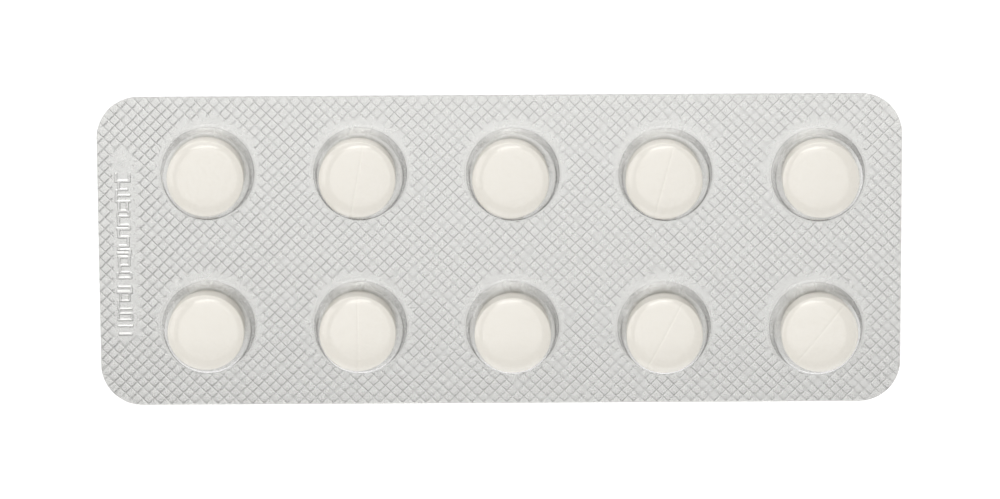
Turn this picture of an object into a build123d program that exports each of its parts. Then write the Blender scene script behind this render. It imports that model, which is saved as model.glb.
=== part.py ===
from build123d import *
from itertools import cycle
from math import cos, radians, tan
import os

# A blister card of tablets: a clear thermoformed film with a grid of round pockets,
# a lidding foil sealed under it, and one loose tablet in each pocket.
# Millimetres and degrees. X runs along the card, Y across it, +Z up through the pockets.
# The origin is the centre of the card on the foil's underside.

# Tablet
TABLET_DIAMETER = 9.1
TABLET_THICKNESS = 4.1
TABLET_CROWN = 0.4
TABLET_EDGE_RADIUS = 0.15
SCORE_WIDTH = 0.5
SCORE_DEPTH = 0.22

# Sheets
FOIL_THICKNESS = 0.03
FILM_THICKNESS = 0.25
CORNER_RADIUS = 5.0

# Pocket grid and the margins from its outer centres to the card's edges
COLUMNS = 5
ROWS = 2
COLUMN_PITCH = 18.2
ROW_PITCH = 18.7
LEFT_MARGIN = 13.1
RIGHT_MARGIN = 10.1
TOP_MARGIN = 9.48
BOTTOM_MARGIN = 9.42
GRID_TURN = -0.45

# Pocket
POCKET_WALL = 0.2
POCKET_DRAFT = 7.5
POCKET_CROWN = 0.12
SIDE_CLEARANCE = 0.38
HEAD_CLEARANCE = 0.35
REST_GAP = 0.02
FOOT_RADIUS = 0.35
SHOULDER_RADIUS = 1.0

# How each tablet lies, row by row from the top left:
# drift as a share of the side clearance, bearing of the drift, turn of the score, score up
TABLET_LIES = [
    (0.40, 220, 0, False),
    (0.85, 211, -10, True),
    (0.90, 223, 35, False),
    (0.90, 227, -15, True),
    (0.55, 333, -50, False),
    (0.50, 202, 70, False),
    (0.80, 213, 0, True),
    (0.85, 280, -25, False),
    (0.85, 270, -28, True),
    (0.90, 332, -39, True),
]

# How far apart two heights may be and still be one level
LEVEL = 0.001

# Width of a plug's flange past its wall, in foot radii
FLANGE_SHARE = 3

# Worked out
CARD_LENGTH = LEFT_MARGIN + (COLUMNS - 1) * COLUMN_PITCH + RIGHT_MARGIN
CARD_WIDTH = TOP_MARGIN + (ROWS - 1) * ROW_PITCH + BOTTOM_MARGIN
GRID_CENTRE_X = (LEFT_MARGIN - RIGHT_MARGIN) / 2
GRID_CENTRE_Y = (BOTTOM_MARGIN - TOP_MARGIN) / 2
FILM_UNDERSIDE = FOIL_THICKNESS
FILM_TOP = FOIL_THICKNESS + FILM_THICKNESS
TABLET_BASE = FOIL_THICKNESS + REST_GAP
BAND_TOP = TABLET_BASE + TABLET_THICKNESS - TABLET_CROWN
CEILING = TABLET_BASE + TABLET_THICKNESS + HEAD_CLEARANCE - POCKET_CROWN
CAVITY_RADIUS = (
    TABLET_DIAMETER / 2
    + SIDE_CLEARANCE
    + (BAND_TOP - FILM_UNDERSIDE) * tan(radians(POCKET_DRAFT))
)


def card_sheet(thickness, base_z):
    """A flat sheet with the card's outline, from base_z up."""
    outline = RectangleRounded(CARD_LENGTH, CARD_WIDTH, CORNER_RADIUS)
    return Pos(Z=base_z) * extrude(outline, thickness)


def smallest_circle(solid, height):
    """The smallest round edge of the solid at one height."""
    circles = solid.edges().filter_by(GeomType.CIRCLE)
    level = circles.filter_by_position(Axis.Z, height - LEVEL, height + LEVEL)
    return level.sort_by(SortBy.RADIUS)[0]


def cup(base_radius, base_z, rim_z, foot_radius, shoulder_radius, flange_depth):
    """A domed, drafted plug that stands on a thin flange with a filleted foot."""
    flange_radius = base_radius + FLANGE_SHARE * foot_radius
    top_radius = base_radius - (rim_z - base_z) * tan(radians(POCKET_DRAFT))
    dome_top = (0, rim_z + POCKET_CROWN)
    outline = Polyline(
        dome_top,
        (0, base_z - flange_depth),
        (flange_radius, base_z - flange_depth),
        (flange_radius, base_z),
        (base_radius, base_z),
        (top_radius, rim_z),
    )
    dome = TangentArc(dome_top, (top_radius, rim_z), tangent=(1, 0))
    plug = revolve(Plane.XZ * make_face(outline + dome), axis=Axis.Z)
    plug = fillet(smallest_circle(plug, base_z), foot_radius)
    return fillet(smallest_circle(plug, rim_z), shoulder_radius)


def pocket_outside():
    """The outer form of one pocket, standing on the film's top face."""
    wall_across = POCKET_WALL / cos(radians(POCKET_DRAFT))
    film_rise = FILM_THICKNESS * tan(radians(POCKET_DRAFT))
    return cup(
        CAVITY_RADIUS + wall_across - film_rise,
        FILM_TOP,
        CEILING + POCKET_WALL,
        FOOT_RADIUS,
        SHOULDER_RADIUS + POCKET_WALL,
        FILM_THICKNESS / 2,
    )


def pocket_inside():
    """The space in one pocket, open at the film's underside."""
    return cup(
        CAVITY_RADIUS,
        FILM_UNDERSIDE,
        CEILING,
        FOOT_RADIUS + POCKET_WALL,
        SHOULDER_RADIUS,
        FOIL_THICKNESS,
    )


def pocket_places():
    """The place of each pocket's axis, row by row from the top left."""
    grid = GridLocations(COLUMN_PITCH, ROW_PITCH, COLUMNS, ROWS).locations
    in_reading_order = sorted(grid, key=lambda place: (-place.position.Y, place.position.X))
    turned = Pos(GRID_CENTRE_X, GRID_CENTRE_Y) * Rot(Z=GRID_TURN)
    return [Pos((turned * place).position) for place in in_reading_order]


def forming_film():
    """The clear sheet with its pockets drawn up from it."""
    places = pocket_places()
    film = card_sheet(FILM_THICKNESS, FILM_UNDERSIDE)
    film += [place * pocket_outside() for place in places]
    film -= [place * pocket_inside() for place in places]
    return film


def lidding_foil():
    """The flat foil sealed under the film."""
    return card_sheet(FOIL_THICKNESS, 0)


def score_cutter():
    """A V-shaped ring that follows the crown and lays the score along Y."""
    radius = TABLET_DIAMETER / 2
    crown_radius = (radius**2 + TABLET_CROWN**2) / (2 * TABLET_CROWN)
    centre_z = TABLET_THICKNESS - crown_radius
    # The V goes on as far above the face as it goes below, so its lip is twice the score's width
    lip_z = TABLET_THICKNESS + SCORE_DEPTH
    root_z = TABLET_THICKNESS - SCORE_DEPTH
    vee = Polyline((-SCORE_WIDTH, lip_z), (SCORE_WIDTH, lip_z), (0, root_z), close=True)
    section = make_face(vee)
    return revolve(Plane.XZ * section, axis=Axis((0, 0, centre_z), (1, 0, 0)))


def tablet():
    """A round tablet with two shallow crowns, and a score across the upper one."""
    radius = TABLET_DIAMETER / 2
    band_low = TABLET_CROWN
    band_high = TABLET_THICKNESS - TABLET_CROWN
    outline = TangentArc((0, 0), (radius, band_low), tangent=(1, 0))
    outline += Line((radius, band_low), (radius, band_high))
    outline += TangentArc((0, TABLET_THICKNESS), (radius, band_high), tangent=(1, 0))
    outline += Line((0, TABLET_THICKNESS), (0, 0))
    body = revolve(Plane.XZ * make_face(outline), axis=Axis.Z)
    rims = body.edges().filter_by(GeomType.CIRCLE)
    body = fillet(rims, TABLET_EDGE_RADIUS)
    return body - score_cutter()


def lying_tablet(place, lie):
    """The tablet as it lies in its pocket, score up or score down on the foil."""
    share, bearing, turn, score_up = lie
    drift = Vector(share * SIDE_CLEARANCE, 0).rotate(Axis.Z, bearing)
    flip = Pos() if score_up else Pos(Z=TABLET_THICKNESS) * Rot(X=180)
    return Pos(drift) * place * Pos(Z=TABLET_BASE) * Rot(Z=turn) * flip * tablet()


def save(shape, name):
    """Write one piece to parts/NAME.step."""
    shape.label = name
    export_step(shape, os.path.join("parts", name + ".step"))


os.makedirs("parts", exist_ok=True)
save(forming_film(), "forming_film")
save(lidding_foil(), "lidding_foil")
for number, (place, lie) in enumerate(zip(pocket_places(), cycle(TABLET_LIES)), start=1):
    save(lying_tablet(place, lie), f"tablet_{number}")
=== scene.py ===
import math
import random

import bmesh
import bpy
from mathutils import Matrix, Vector
from mathutils.geometry import delaunay_2d_cdt


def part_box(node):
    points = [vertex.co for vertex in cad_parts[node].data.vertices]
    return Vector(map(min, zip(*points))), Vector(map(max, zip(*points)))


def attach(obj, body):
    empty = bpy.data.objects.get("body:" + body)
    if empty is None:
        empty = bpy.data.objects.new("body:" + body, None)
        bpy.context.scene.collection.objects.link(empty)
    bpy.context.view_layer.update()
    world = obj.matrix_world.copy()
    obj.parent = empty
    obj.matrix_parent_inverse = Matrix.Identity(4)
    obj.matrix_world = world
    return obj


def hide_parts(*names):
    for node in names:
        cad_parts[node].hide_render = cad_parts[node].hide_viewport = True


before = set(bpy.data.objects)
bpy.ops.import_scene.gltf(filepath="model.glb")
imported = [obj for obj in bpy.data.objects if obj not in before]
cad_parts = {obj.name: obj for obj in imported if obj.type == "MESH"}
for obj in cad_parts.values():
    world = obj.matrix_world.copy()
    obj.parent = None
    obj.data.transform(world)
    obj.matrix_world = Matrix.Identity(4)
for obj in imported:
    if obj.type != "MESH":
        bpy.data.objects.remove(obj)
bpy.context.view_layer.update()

# The looks of a blister card: a clear film with round pockets, a foil under it and ten tablets.
# Sizes below are in millimetres and turned into metres as each mesh is made.
MM = 0.001

# The card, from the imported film
FILM_LOW, FILM_HIGH = [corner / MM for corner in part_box("forming_film")]
HALF_LENGTH = FILM_HIGH.x
HALF_WIDTH = FILM_HIGH.y
CORNER_RADIUS = 5.0

# Pocket grid, as in the part's source
COLUMNS = 5
ROWS = 2
COLUMN_PITCH = 18.2
ROW_PITCH = 18.7
GRID_CENTRE = Vector((1.5, -0.03))
GRID_TURN = math.radians(-0.45)

# Pocket form, as in the part's source
POCKET_DRAFT = math.radians(7.5)
POCKET_WALL = 0.2
DRAWN_WALL = 0.1
POCKET_CROWN = 0.12
FOOT_RADIUS = 0.35
SHOULDER_RADIUS = 2.0
TABLET_RADIUS = 4.55
TABLET_THICKNESS = 4.1
TABLET_CROWN = 0.4
SIDE_CLEARANCE = 0.38

# Sheets
FOIL_THICKNESS = 0.03
FILM_THICKNESS = 0.25
SEAL_GAP = 0.004

# The diamond pattern that the sealing plate leaves: fine grooves at 45 degrees
KNURL_PITCH = 0.982
KNURL_TURN = math.radians(45)
GROOVE_HALF = 0.1
GROOVE_DEPTH = 0.018
WEAK_END = 0.8
FILM_TOP_SHARE = 0.35
KNURL_UNEVEN = 0.0003

# Plain ring round each pocket and plain strip for the code
RING_RADIUS = 6.1
RING_RISE = 0.25
RING_FADE = 0.1
STRIP_CENTRE = Vector((-45.0, 0.6))
STRIP_HALF = Vector((1.2, 11.6))
STRIP_RADIUS = 1.15
BAR_HALF_LENGTHS = (0.6, 0.95)
BAR_HALF_WIDTHS = (0.1, 0.16)
BAR_STEPS = (0.42, 1.15)
TIE_SHARE = 0.55
BAR_RADIUS = 0.06
BAR_HEIGHT = 0.028
BAR_SLOPE = 0.1
BAR_END_GAP = 0.9
BLOB_RADIUS = 0.95
BLOB_HEIGHT = 0.015
CODE_SEED = 5
FOIL_SEED = 7

# Fineness of the meshes
POCKET_SIDES = 72
FOOT_STEPS = 7
SHOULDER_STEPS = 10
WALL_STEPS = 2
DOME_STEPS = 5
BLOB_SIDES = 36
BLOB_LOOPS = (0.25, 0.5, 0.75, 1)
UNDER_POCKET_RADII = (1.4, 2.8, 4.2)
UNDER_POCKET_DENSITY = 6
EDGE_STEP = 0.2
KEEP_CLEAR = 0.03
MERGE_GAP = 1e-6

# Joining distance of points, and the angle in degrees past which an edge is drawn sharp
SHEET_WELD = 0.0005
TABLET_WELD = 0.002
FOIL_SHARP = 3.5
FILM_SHARP = 14
TABLET_SHARP = 28


# ---------------------------------------------------------------- card plan

def pocket_centres():
    """The axis of each pocket, row by row from the top left."""
    turn = Matrix.Rotation(GRID_TURN, 2)
    centres = []
    for row in range(ROWS):
        for column in range(COLUMNS):
            x = (column - (COLUMNS - 1) / 2) * COLUMN_PITCH
            y = ((ROWS - 1) / 2 - row) * ROW_PITCH
            centres.append(GRID_CENTRE + turn @ Vector((x, y)))
    return centres


POCKETS = pocket_centres()
RINGS = [centre + Vector((0, RING_RISE)) for centre in POCKETS]


def cavity_radius():
    """Radius of the pocket's inside where its wall meets the film's underside."""
    band_top = TABLET_THICKNESS - TABLET_CROWN
    return TABLET_RADIUS + SIDE_CLEARANCE + band_top * math.tan(POCKET_DRAFT)


FILLET_REACH = math.tan((math.pi / 2 - POCKET_DRAFT) / 2)


def foot_reach(radius):
    """How far a fillet of this radius reaches out from the wall's foot."""
    return radius * FILLET_REACH


INSIDE_RADIUS = cavity_radius()
OUTSIDE_RADIUS = (
    INSIDE_RADIUS + POCKET_WALL / math.cos(POCKET_DRAFT) - FILM_THICKNESS * math.tan(POCKET_DRAFT)
)
FOOT_START = OUTSIDE_RADIUS + foot_reach(FOOT_RADIUS)


def circle_points(centre, radius, count):
    """Points evenly round a circle."""
    step = math.tau / count
    return [
        centre + Vector((radius * math.cos(step * k), radius * math.sin(step * k)))
        for k in range(count)
    ]


def rounded_box_points(centre, half, radius, step):
    """Points round a rectangle with round corners, at most one step apart."""
    points = []
    for sign_x, sign_y, start in ((1, 1, 0), (-1, 1, 90), (-1, -1, 180), (1, -1, 270)):
        corner = centre + Vector((sign_x * (half.x - radius), sign_y * (half.y - radius)))
        arc_steps = max(2, math.ceil(radius * math.pi / 2 / step))
        for k in range(arc_steps + 1):
            angle = math.radians(start + 90 * k / arc_steps)
            points.append(corner + radius * Vector((math.cos(angle), math.sin(angle))))
    loop = []
    for here, there in zip(points, points[1:] + points[:1]):
        pieces = max(1, math.ceil((there - here).length / step))
        loop += [here.lerp(there, k / pieces) for k in range(pieces)]
    return loop


def box_distance(point, centre, half, radius):
    """Signed distance from a rounded rectangle, negative inside."""
    away = point - centre
    past = Vector((abs(away.x) - half.x + radius, abs(away.y) - half.y + radius))
    outside = Vector((max(past.x, 0), max(past.y, 0))).length
    return outside + min(max(past.x, past.y), 0) - radius


# ---------------------------------------------------------------- relief of the seal

def code_bars():
    """Centre and half size of the plain code's raised bars and of the ties that join some of them."""
    chance = random.Random(CODE_SEED)
    y = STRIP_CENTRE.y - STRIP_HALF.y + BAR_END_GAP
    bars = []
    while y < BLOB_CENTRE.y - BLOB_RADIUS - BAR_STEPS[1]:
        half = Vector((chance.uniform(*BAR_HALF_LENGTHS), chance.uniform(*BAR_HALF_WIDTHS)))
        step = chance.uniform(*BAR_STEPS)
        bars.append((Vector((STRIP_CENTRE.x, y)), half))
        for side in (-1, 1):
            if chance.random() < TIE_SHARE:
                tie = Vector((STRIP_CENTRE.x + side * (half.x - half.y), y + step / 2))
                bars.append((tie, Vector((half.y, step / 2))))
        y += step
    return bars


BLOB_CENTRE = STRIP_CENTRE + Vector((0, STRIP_HALF.y - STRIP_RADIUS))
BARS = code_bars()


def plain_gap(point):
    """Distance from the nearest plain ring or strip, negative inside it."""
    gap = min((point - ring).length for ring in RINGS) - RING_RADIUS
    return min(gap, box_distance(point, STRIP_CENTRE, STRIP_HALF, STRIP_RADIUS))


def grip_share(point):
    """0 where the sealing plate leaves the sheet plain, 1 where it grips, with a short fade."""
    return min(max(plain_gap(point) / RING_FADE, 0), 1)


def groove_share(point):
    """1 on a groove's centre line, 0 past its edge."""
    turned = Matrix.Rotation(-KNURL_TURN, 2) @ point
    nearest = min(
        abs((along + KNURL_PITCH / 2) % KNURL_PITCH - KNURL_PITCH / 2) for along in turned
    )
    return max(0, 1 - nearest / GROOVE_HALF)


def bar_share(point):
    """1 on top of a raised bar, 0 past its slope."""
    if abs(point.x - STRIP_CENTRE.x) > STRIP_HALF.x:
        return 0
    gap = min(box_distance(point, centre, half, BAR_RADIUS) for centre, half in BARS)
    return min(max(0.5 - gap / BAR_SLOPE, 0), 1)


def blob_rise(point):
    """Height of the low round boss at the strip's end."""
    share = (point - BLOB_CENTRE).length / BLOB_RADIUS
    return BLOB_HEIGHT * (0.5 + 0.5 * math.cos(math.pi * min(share, 1)))


def seal_pressure(point):
    """Share of the full groove depth: the plate grips hardest at the code end of the card."""
    along = 0.5 + 0.5 * point.x / HALF_LENGTH
    return 1 + (WEAK_END - 1) * along


def relief(point):
    """Height of the sealed sheet over its groove bottoms."""
    grip = grip_share(point)
    if grip == 0:
        return GROOVE_DEPTH + BAR_HEIGHT * bar_share(point) + blob_rise(point)
    return GROOVE_DEPTH * (1 - grip * groove_share(point) * seal_pressure(point))


# ---------------------------------------------------------------- plan mesh

def knurl_points():
    """Points where the edges and middles of the grooves cross, in the gripped part."""
    turn = Matrix.Rotation(KNURL_TURN, 2)
    reach = math.ceil(math.hypot(HALF_LENGTH, HALF_WIDTH) / KNURL_PITCH)
    stops = [
        line * KNURL_PITCH + offset
        for line in range(-reach, reach + 1)
        for offset in (-GROOVE_HALF, 0, GROOVE_HALF)
    ]
    half = Vector((HALF_LENGTH, HALF_WIDTH))
    points = []
    for u in stops:
        for v in stops:
            point = turn @ Vector((u, v))
            if abs(point.x) > HALF_LENGTH or abs(point.y) > HALF_WIDTH:
                continue
            if box_distance(point, Vector((0, 0)), half, CORNER_RADIUS) > -KEEP_CLEAR:
                continue
            if plain_gap(point) > RING_FADE + KEEP_CLEAR:
                points.append(point)
    return points


def plan_loops():
    """Closed loops that the plan mesh has to follow, the card's outline first."""
    half = Vector((HALF_LENGTH, HALF_WIDTH))
    loops = [rounded_box_points(Vector((0, 0)), half, CORNER_RADIUS, EDGE_STEP)]
    loops += [circle_points(centre, FOOT_START, POCKET_SIDES) for centre in POCKETS]
    sides = math.ceil(math.tau * RING_RADIUS / EDGE_STEP)
    for ring in RINGS:
        loops += [circle_points(ring, RING_RADIUS + fade, sides) for fade in (0, RING_FADE)]
    for fade in (0, RING_FADE):
        grown = STRIP_HALF + Vector((fade, fade))
        loops.append(rounded_box_points(STRIP_CENTRE, grown, STRIP_RADIUS + fade, EDGE_STEP))
    for centre, half in BARS:
        for grow in (-BAR_SLOPE / 2, BAR_SLOPE / 2):
            size = half + Vector((grow, grow))
            loops.append(rounded_box_points(centre, size, BAR_RADIUS + grow, EDGE_STEP))
    for share in BLOB_LOOPS:
        loops.append(circle_points(BLOB_CENTRE, BLOB_RADIUS * share, BLOB_SIDES))
    return loops


def under_pocket_points():
    """A few rings of points on the foil under each pocket."""
    points = []
    for centre in POCKETS:
        points.append(centre)
        for radius in UNDER_POCKET_RADII:
            points += circle_points(centre, radius, math.ceil(radius * UNDER_POCKET_DENSITY))
    return points


def plan_mesh():
    """The card's plan as points and triangles."""
    loops = plan_loops()
    points = [point for loop in loops for point in loop]
    edges = []
    start = 0
    for loop in loops:
        edges += [(start + k, start + (k + 1) % len(loop)) for k in range(len(loop))]
        start += len(loop)
    points += knurl_points() + under_pocket_points()
    made = delaunay_2d_cdt(points, edges, [], 0, MERGE_GAP)
    return made[0], made[2]


def in_pocket(face, points):
    """True if a triangle of the plan lies inside a pocket's foot circle."""
    middle = sum((points[k] for k in face), Vector((0, 0))) / len(face)
    return min((middle - centre).length for centre in POCKETS) < FOOT_START


PLAN_POINTS, PLAN_FACES = plan_mesh()
RELIEF = [relief(point) for point in PLAN_POINTS]


# ---------------------------------------------------------------- mesh helpers

def new_piece(name, points, faces, material, slot, *nodes):
    """A mesh piece from millimetre points that stands for CAD nodes."""
    mesh = bpy.data.meshes.new(name)
    mesh.from_pydata([Vector(point) * MM for point in points], [], faces)
    mesh.validate()
    mesh.materials.append(material)
    piece = bpy.data.objects.new(name, mesh)
    bpy.context.collection.objects.link(piece)
    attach(piece, "root")
    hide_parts(*nodes)
    return piece


def weld(piece, distance):
    """Joins points that coincide and turns all faces outwards."""
    shape = bmesh.new()
    shape.from_mesh(piece.data)
    bmesh.ops.remove_doubles(shape, verts=shape.verts, dist=distance * MM)
    bmesh.ops.recalc_face_normals(shape, faces=shape.faces)
    shape.to_mesh(piece.data)
    shape.free()


def shade(piece, sharp_degrees):
    """Smooth shading that stays sharp over edges past an angle."""
    piece.data.polygons.foreach_set("use_smooth", [True] * len(piece.data.polygons))
    shape = bmesh.new()
    shape.from_mesh(piece.data)
    for edge in shape.edges:
        if len(edge.link_faces) == 2:
            edge.smooth = edge.calc_face_angle() < math.radians(sharp_degrees)
    shape.to_mesh(piece.data)
    shape.free()


def sheet_shell(low_heights, high_heights, faces):
    """Points and faces of a closed sheet between two height lists over the plan."""
    count = len(PLAN_POINTS)
    points = [(p.x, p.y, z) for p, z in zip(PLAN_POINTS, low_heights)]
    points += [(p.x, p.y, z) for p, z in zip(PLAN_POINTS, high_heights)]
    shell = [tuple(reversed(face)) for face in faces]
    shell += [tuple(k + count for k in face) for face in faces]
    return points, shell


def open_edges(faces):
    """Directed edges of the triangles that no neighbour shares."""
    seen = {}
    for face in faces:
        for a, b in zip(face, face[1:] + face[:1]):
            seen[(a, b)] = True
    return [(a, b) for a, b in seen if (b, a) not in seen]


# ---------------------------------------------------------------- film

def arc(centre, radius, start, end, steps):
    """Points on an arc in the (radius, height) plane."""
    return [
        (
            centre[0] + radius * math.cos(math.radians(start + (end - start) * k / steps)),
            centre[1] + radius * math.sin(math.radians(start + (end - start) * k / steps)),
        )
        for k in range(steps + 1)
    ]


def pocket_profile(base_radius, base_z, rim_z, foot_radius, shoulder_radius):
    """(radius, height) points from the foot circle over the wall to the middle of the top."""
    draft = math.degrees(POCKET_DRAFT)
    top_radius = base_radius - (rim_z - base_z) * math.tan(POCKET_DRAFT)
    reach = foot_reach(foot_radius)
    foot_centre = (base_radius + reach, base_z + foot_radius)
    foot = arc(foot_centre, foot_radius, 270, 180 + draft, FOOT_STEPS)
    shoulder_in = foot_reach(shoulder_radius)
    shoulder_centre = (top_radius - shoulder_in, rim_z - shoulder_radius)
    shoulder = arc(shoulder_centre, shoulder_radius, draft, 90, SHOULDER_STEPS)
    low, high = foot[-1], shoulder[0]
    wall = [
        (low[0] + (high[0] - low[0]) * k / WALL_STEPS, low[1] + (high[1] - low[1]) * k / WALL_STEPS)
        for k in range(1, WALL_STEPS)
    ]
    dome_start = shoulder[-1][0]
    dome = []
    for k in range(1, DOME_STEPS + 1):
        radius = dome_start * (1 - k / DOME_STEPS)
        dome.append((radius, rim_z + POCKET_CROWN * (1 - (radius / dome_start) ** 2)))
    return foot + wall + shoulder + dome


def revolved(profile, centre, flip):
    """Points and faces of a profile turned about a pocket's axis, closed at the middle."""
    points = []
    for radius, z in profile[:-1]:
        points += [(p.x, p.y, z) for p in circle_points(centre, radius, POCKET_SIDES)]
    points.append((centre.x, centre.y, profile[-1][1]))
    faces = []
    rings = len(profile) - 1
    for ring in range(rings - 1):
        for k in range(POCKET_SIDES):
            after = (k + 1) % POCKET_SIDES
            a, b = ring * POCKET_SIDES + k, ring * POCKET_SIDES + after
            faces.append((a, b, b + POCKET_SIDES, a + POCKET_SIDES))
    last = (rings - 1) * POCKET_SIDES
    for k in range(POCKET_SIDES):
        faces.append((last + k, last + (k + 1) % POCKET_SIDES, len(points) - 1))
    if flip:
        faces = [tuple(reversed(face)) for face in faces]
    return points, faces


def forming_film(material):
    """The clear sheet with its ten pockets, as one mesh."""
    web = [tuple(face) for face in PLAN_FACES if not in_pocket(face, PLAN_POINTS)]
    under_z = FOIL_THICKNESS + SEAL_GAP
    top_z = FOIL_THICKNESS + FILM_THICKNESS
    under = [under_z + height for height in RELIEF]
    top = [top_z + GROOVE_DEPTH + (height - GROOVE_DEPTH) * FILM_TOP_SHARE for height in RELIEF]
    points, faces = sheet_shell(under, top, web)
    count = len(PLAN_POINTS)
    outline = [
        (a, b)
        for a, b in open_edges(web)
        if min((PLAN_POINTS[a] - centre).length for centre in POCKETS) > FOOT_START + KEEP_CLEAR
    ]
    faces += [(a, b, b + count, a + count) for a, b in outline]
    base_low = under_z + GROOVE_DEPTH
    base_high = top_z + GROOVE_DEPTH
    ceiling = FILM_HIGH.z - POCKET_CROWN - POCKET_WALL + GROOVE_DEPTH
    inside_foot = (FOOT_START - INSIDE_RADIUS - POCKET_WALL + DRAWN_WALL) / FILLET_REACH
    thinner = POCKET_WALL - DRAWN_WALL
    inside = pocket_profile(
        INSIDE_RADIUS + thinner, base_low, ceiling + thinner, inside_foot, SHOULDER_RADIUS
    )
    outside = pocket_profile(
        OUTSIDE_RADIUS, base_high, ceiling + POCKET_WALL, FOOT_RADIUS, SHOULDER_RADIUS + DRAWN_WALL
    )
    for centre in POCKETS:
        for profile, flip in ((inside, True), (outside, False)):
            more_points, more_faces = revolved(profile, centre, flip)
            start = len(points)
            points += more_points
            faces += [tuple(k + start for k in face) for face in more_faces]
    piece = new_piece("film_with_pockets", points, faces, material, "clear_film", "forming_film")
    weld(piece, SHEET_WELD)
    shade(piece, FILM_SHARP)
    return piece


# ---------------------------------------------------------------- foil

def lidding_foil(material):
    """The foil with the sealing pattern on both faces, as one mesh."""
    random.seed(FOIL_SEED)
    uneven = [random.uniform(-KNURL_UNEVEN, KNURL_UNEVEN) for _ in PLAN_POINTS]
    under = [max(0, height + shift) for height, shift in zip(RELIEF, uneven)]
    top = [height + FOIL_THICKNESS for height in under]
    faces = [tuple(face) for face in PLAN_FACES]
    points, shell = sheet_shell(under, top, faces)
    count = len(PLAN_POINTS)
    shell += [(a, b, b + count, a + count) for a, b in open_edges(faces)]
    piece = new_piece("foil_with_seal_pattern", points, shell, material, "foil", "lidding_foil")
    weld(piece, SHEET_WELD)
    shade(piece, FOIL_SHARP)
    return piece


# ---------------------------------------------------------------- tablets

SCORE_HALF = 0.22
SCORE_DEPTH = 0.05
SCORE_ZONE = SCORE_HALF * 1.15
SCORE_ROWS = 8
SCORE_STEP = 0.25
EDGE_BEVEL = 0.16
BEVEL_IN = EDGE_BEVEL * 0.45
BEVEL_RISE = EDGE_BEVEL * 0.05
BEVEL_DROP = EDGE_BEVEL * 0.7
TABLET_SIDES = 128
FACE_RINGS = 14
LEAST_RING_SIDES = 12

# Turn of the score in degrees, and True where the scored face is up, row by row
TABLET_LIES = (
    (0, False),
    (-10, True),
    (35, False),
    (-15, True),
    (-50, False),
    (70, False),
    (0, True),
    (-25, False),
    (-28, True),
    (-39, True),
)


def crown_height(radius):
    """Height of the tablet's face over its rim."""
    crown_radius = (TABLET_RADIUS**2 + TABLET_CROWN**2) / (2 * TABLET_CROWN)
    return math.sqrt(crown_radius**2 - radius**2) - (crown_radius - TABLET_CROWN)


def score_depth(across):
    """Depth of the score at a distance across its line, with soft lips."""
    share = min(abs(across) / SCORE_HALF, 1)
    return SCORE_DEPTH * (0.5 + 0.5 * math.cos(math.pi * share))


def face_points(scored):
    """Plan points of one tablet face, closer together along the score."""
    face_radius = TABLET_RADIUS - EDGE_BEVEL
    rim = circle_points(Vector((0, 0)), face_radius, TABLET_SIDES)
    points = list(rim)
    zone = SCORE_ZONE if scored else -1
    if scored:
        rows = [SCORE_ZONE * (2 * k / SCORE_ROWS - 1) for k in range(SCORE_ROWS + 1)]
        for x in rows:
            half_chord = math.sqrt(face_radius**2 - x**2) - KEEP_CLEAR
            pieces = math.ceil(2 * half_chord / SCORE_STEP)
            points += [
                Vector((x, -half_chord + 2 * half_chord * k / pieces)) for k in range(pieces + 1)
            ]
    for ring in range(1, FACE_RINGS):
        radius = face_radius * ring / FACE_RINGS
        sides = max(LEAST_RING_SIDES, TABLET_SIDES * ring // FACE_RINGS)
        for point in circle_points(Vector((0, 0)), radius, sides):
            if abs(point.x) > zone + KEEP_CLEAR:
                points.append(point)
    if not scored:
        points.append(Vector((0, 0)))
    return points


def tablet_face(scored, z, up):
    """Points and faces of one face of a tablet."""
    plan = face_points(scored)
    edges = [(k, (k + 1) % TABLET_SIDES) for k in range(TABLET_SIDES)]
    made = delaunay_2d_cdt(plan, edges, [], 0, MERGE_GAP)
    sign = 1 if up else -1
    points = []
    for point in made[0]:
        height = crown_height(point.length) - (score_depth(point.x) if scored else 0)
        points.append((point.x, point.y, z + sign * height))
    faces = [tuple(face) if up else tuple(reversed(face)) for face in made[2]]
    return points, faces


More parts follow.
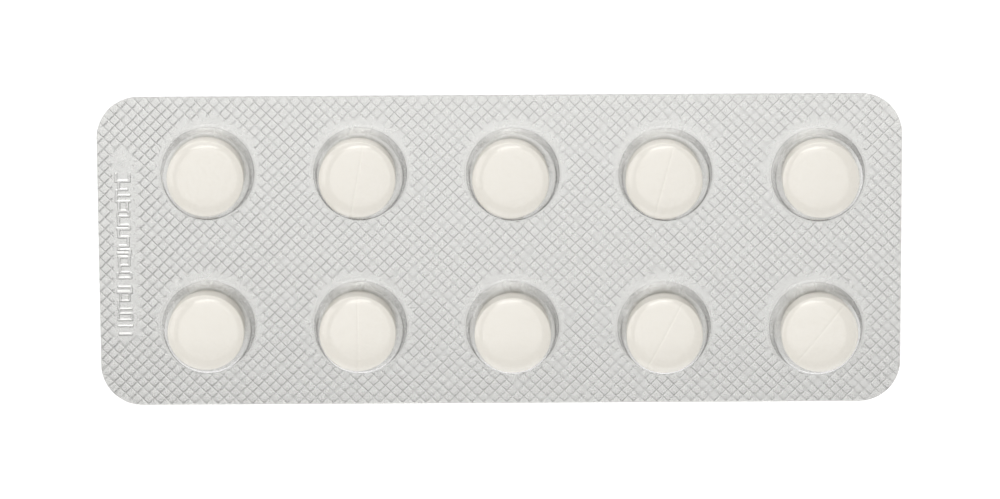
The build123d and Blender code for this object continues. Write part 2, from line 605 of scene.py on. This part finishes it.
def tablet(number, lie, material):
    """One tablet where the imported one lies, with its score, edge and band."""
    turn, score_up = lie
    node = f"tablet_{number}"
    low, high = [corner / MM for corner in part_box(node)]
    middle = (low + high) / 2
    half_band = TABLET_THICKNESS / 2 - TABLET_CROWN
    points, faces = [], []
    for up in (True, False):
        z = half_band if up else -half_band
        more_points, more_faces = tablet_face(up, z, up)
        start = len(points)
        points += more_points
        faces += [tuple(k + start for k in face) for face in more_faces]
    rim_height = crown_height(TABLET_RADIUS - EDGE_BEVEL)
    wall = [
        (TABLET_RADIUS - EDGE_BEVEL, half_band + rim_height),
        (TABLET_RADIUS - BEVEL_IN, half_band - BEVEL_RISE),
        (TABLET_RADIUS, half_band - BEVEL_DROP),
        (TABLET_RADIUS, half_band / 3),
        (TABLET_RADIUS, -half_band / 3),
        (TABLET_RADIUS, -half_band + BEVEL_DROP),
        (TABLET_RADIUS - BEVEL_IN, -half_band + BEVEL_RISE),
        (TABLET_RADIUS - EDGE_BEVEL, -half_band - rim_height),
    ]
    start = len(points)
    for radius, z in wall:
        points += [(p.x, p.y, z) for p in circle_points(Vector((0, 0)), radius, TABLET_SIDES)]
    for ring in range(len(wall) - 1):
        for k in range(TABLET_SIDES):
            a = start + ring * TABLET_SIDES + k
            b = start + ring * TABLET_SIDES + (k + 1) % TABLET_SIDES
            faces.append((a + TABLET_SIDES, b + TABLET_SIDES, b, a))
    flip = Matrix.Identity(4) if score_up else Matrix.Rotation(math.pi, 4, "X")
    place = Matrix.Rotation(math.radians(turn), 4, "Z") @ flip
    lift = Vector((middle.x, middle.y, middle.z + GROOVE_DEPTH))
    points = [place @ Vector(point) + lift for point in points]
    piece = new_piece(f"pressed_tablet_{number}", points, faces, material, "tablet", node)
    weld(piece, TABLET_WELD)
    shade(piece, TABLET_SHARP)
    return piece


# ---------------------------------------------------------------- materials

def material_nodes(name):
    """A new material with its output and a Principled shader."""
    material = bpy.data.materials.new(name)
    material.use_nodes = True
    tree = material.node_tree
    tree.nodes.clear()
    output = tree.nodes.new("ShaderNodeOutputMaterial")
    shader = tree.nodes.new("ShaderNodeBsdfPrincipled")
    tree.links.new(shader.outputs[0], output.inputs["Surface"])
    return material, tree, shader, output


def object_noise(tree, scale_mm, detail, roughness):
    """A noise texture whose grains are about scale_mm across."""
    place = tree.nodes.new("ShaderNodeTexCoord")
    noise = tree.nodes.new("ShaderNodeTexNoise")
    noise.inputs["Scale"].default_value = 1 / (scale_mm * MM)
    noise.inputs["Detail"].default_value = detail
    noise.inputs["Roughness"].default_value = roughness
    tree.links.new(place.outputs["Object"], noise.inputs["Vector"])
    return noise


def colour_ramp(tree, source, stops):
    """A colour ramp over a 0 to 1 source."""
    ramp = tree.nodes.new("ShaderNodeValToRGB")
    ramp.color_ramp.elements[0].position, ramp.color_ramp.elements[0].color = stops[0]
    ramp.color_ramp.elements[1].position, ramp.color_ramp.elements[1].color = stops[1]
    tree.links.new(source, ramp.inputs["Fac"])
    return ramp


def value_range(tree, source, low, high):
    """The source, from 0 to 1, spread from low to high."""
    spread = tree.nodes.new("ShaderNodeMapRange")
    spread.inputs["To Min"].default_value = low
    spread.inputs["To Max"].default_value = high
    tree.links.new(source, spread.inputs["Value"])
    return spread


def bump(tree, height, distance_mm, strength):
    """A bump from a height texture."""
    node = tree.nodes.new("ShaderNodeBump")
    node.inputs["Distance"].default_value = distance_mm * MM
    node.inputs["Strength"].default_value = strength
    tree.links.new(height, node.inputs["Height"])
    return node


def foil_material():
    """Hard aluminium foil: a satin metal with fine rolling marks and small wrinkles."""
    material, tree, shader, _ = material_nodes("hard_foil")
    shader.inputs["Metallic"].default_value = 1.0
    tone = object_noise(tree, 2.2, 4, 0.6)
    stops = ((0.3, (0.50, 0.496, 0.479, 1)), (0.7, (0.552, 0.548, 0.53, 1)))
    ramp = colour_ramp(tree, tone.outputs["Fac"], stops)
    tree.links.new(ramp.outputs["Color"], shader.inputs["Base Color"])
    rough = value_range(tree, tone.outputs["Fac"], 0.23, 0.31)
    tree.links.new(rough.outputs["Result"], shader.inputs["Roughness"])
    wrinkle = object_noise(tree, 0.5, 5, 0.55)
    relief_bump = bump(tree, wrinkle.outputs["Fac"], 0.02, 0.12)
    tree.links.new(relief_bump.outputs["Normal"], shader.inputs["Normal"])
    return material


def tablet_material():
    """Pressed powder: warm white, matt, with a fine grain and faint speckles."""
    material, tree, shader, _ = material_nodes("pressed_powder")
    speckle = object_noise(tree, 0.35, 3, 0.6)
    stops = ((0.25, (0.85, 0.805, 0.72, 1)), (0.6, (0.89, 0.85, 0.772, 1)))
    ramp = colour_ramp(tree, speckle.outputs["Fac"], stops)
    tree.links.new(ramp.outputs["Color"], shader.inputs["Base Color"])
    shader.inputs["Roughness"].default_value = 0.75
    shader.inputs["Specular IOR Level"].default_value = 0.3
    grain = object_noise(tree, 0.12, 4, 0.65)
    grain_bump = bump(tree, grain.outputs["Fac"], 0.03, 0.35)
    tree.links.new(grain_bump.outputs["Normal"], shader.inputs["Normal"])
    return material


def film_material():
    """Clear rigid PVC that lets lamps through to what it covers."""
    material, tree, shader, output = material_nodes("clear_pvc")
    shader.inputs["Base Color"].default_value = (0.985, 0.988, 0.99, 1)
    shader.inputs["Transmission Weight"].default_value = 1.0
    shader.inputs["IOR"].default_value = 1.46
    haze = object_noise(tree, 3.0, 2, 0.5)
    rough = value_range(tree, haze.outputs["Fac"], 0.10, 0.17)
    tree.links.new(rough.outputs["Result"], shader.inputs["Roughness"])
    ripple = object_noise(tree, 1.6, 2, 0.5)
    ripple_bump = bump(tree, ripple.outputs["Fac"], 0.02, 0.25)
    tree.links.new(ripple_bump.outputs["Normal"], shader.inputs["Normal"])
    clear = tree.nodes.new("ShaderNodeBsdfTransparent")
    path = tree.nodes.new("ShaderNodeLightPath")
    mirrored = tree.nodes.new("ShaderNodeMath")
    mirrored.operation = "SUBTRACT"
    tree.links.new(path.outputs["Is Glossy Ray"], mirrored.inputs[0])
    tree.links.new(path.outputs["Is Transmission Ray"], mirrored.inputs[1])
    indirect = tree.nodes.new("ShaderNodeMath")
    indirect.operation = "MAXIMUM"
    tree.links.new(path.outputs["Is Diffuse Ray"], indirect.inputs[0])
    tree.links.new(mirrored.outputs[0], indirect.inputs[1])
    passing = tree.nodes.new("ShaderNodeMath")
    passing.operation = "MAXIMUM"
    tree.links.new(path.outputs["Is Shadow Ray"], passing.inputs[0])
    tree.links.new(indirect.outputs[0], passing.inputs[1])
    mix = tree.nodes.new("ShaderNodeMixShader")
    tree.links.new(passing.outputs[0], mix.inputs[0])
    tree.links.new(shader.outputs[0], mix.inputs[1])
    tree.links.new(clear.outputs[0], mix.inputs[2])
    tree.links.new(mix.outputs[0], output.inputs["Surface"])
    return material


def floor_material():
    """A plain pale sweep."""
    material, tree, shader, _ = material_nodes("pale_sweep")
    tone = object_noise(tree, 40, 2, 0.5)
    stops = ((0.3, (0.97, 0.97, 0.97, 1)), (0.7, (0.99, 0.99, 0.99, 1)))
    ramp = colour_ramp(tree, tone.outputs["Fac"], stops)
    tree.links.new(ramp.outputs["Color"], shader.inputs["Base Color"])
    shader.inputs["Roughness"].default_value = 0.9
    shader.inputs["Specular IOR Level"].default_value = 0.1
    shader.inputs["Emission Color"].default_value = (1, 1, 1, 1)
    shader.inputs["Emission Strength"].default_value = 0.3
    return material


# ---------------------------------------------------------------- studio

CAMERA_DISTANCE = 0.65
CAMERA_TILT = math.radians(11.5)
CAMERA_ROLL = math.radians(-0.32)
CAMERA_LENS = 195.5
CAMERA_AIM = Vector((0.0, 0.0, 0.0))
FLOOR_HALF = 3.0
FLOOR_DROP = 0.00002
SURROUND = 0.45


def floor():
    """A wide pale floor under the card."""
    mesh = bpy.data.meshes.new("floor")
    signs = ((-1, -1), (1, -1), (1, 1), (-1, 1))
    corners = [(x * FLOOR_HALF, y * FLOOR_HALF, 0) for x, y in signs]
    mesh.from_pydata(corners, [], [(0, 1, 2, 3)])
    mesh.materials.append(floor_material())
    sweep = bpy.data.objects.new("floor", mesh)
    sweep.location.z = -FLOOR_DROP
    bpy.context.collection.objects.link(sweep)


def softbox(name, place, aim, width, height, radiance, shape="RECTANGLE"):
    """A soft light that looks this bright from the card."""
    lamp = bpy.data.lights.new(name, "AREA")
    lamp.shape = shape
    lamp.size = width
    lamp.size_y = height
    area = width * height * (math.pi / 4 if shape == "ELLIPSE" else 1)
    lamp.energy = radiance * math.pi * area
    light = bpy.data.objects.new(name, lamp)
    light.location = place
    light.rotation_mode = "QUATERNION"
    light.rotation_quaternion = (Vector(aim) - Vector(place)).to_track_quat("-Z", "Y")
    bpy.context.collection.objects.link(light)
    return light


def lights():
    """An even ceiling, a brighter bank past the card's far edge and a dim surround."""
    softbox("overhead", (0, -0.045, 0.50), (0, -0.045, 0), 0.38, 0.23, 1.1)
    softbox("overhead_far", (0, 0.145, 0.50), (0, 0.145, 0), 0.38, 0.15, 1.5)
    softbox("far_bank", (-0.07, 0.54, 0.84), (0, 0, 0), 0.62, 0.30, 3.9, "ELLIPSE")
    softbox("far_wall", (-0.10, 0.95, 0.35), (0, 0, 0), 1.4, 0.6, 0.8)
    softbox("front_wall", (0, -0.95, 0.26), (0, 0, 0), 1.4, 0.45, 0.8)
    softbox("left_bank", (-0.8, 0.1, 0.5), (0, 0, 0), 0.8, 0.5, 1.0)
    world = bpy.data.worlds.new("surround")
    world.use_nodes = True
    surround = world.node_tree.nodes["Background"]
    surround.inputs["Color"].default_value = (1, 1, 1, 1)
    surround.inputs["Strength"].default_value = SURROUND
    bpy.context.scene.world = world


def camera():
    """A long lens nearly straight above, leaning over the card's far edge."""
    lens = bpy.data.cameras.new("camera")
    lens.lens = CAMERA_LENS
    lens.clip_start = 0.01
    view = bpy.data.objects.new("camera", lens)
    back = Vector((0, math.sin(CAMERA_TILT), math.cos(CAMERA_TILT)))
    up = Vector((0, math.cos(CAMERA_TILT), -math.sin(CAMERA_TILT)))
    right = up.cross(back)
    axes = Matrix((right, up, back)).transposed().to_4x4()
    turn = Matrix.Rotation(CAMERA_ROLL, 4, "Z")
    view.matrix_world = Matrix.Translation(CAMERA_AIM + back * CAMERA_DISTANCE) @ axes @ turn
    bpy.context.collection.objects.link(view)
    bpy.context.scene.camera = view


camera()
floor()
lights()
bpy.context.scene.view_settings.view_transform = "Standard"
forming_film(film_material())
lidding_foil(foil_material())
powder = tablet_material()
for number, lie in enumerate(TABLET_LIES, start=1):
    tablet(number, lie, powder)
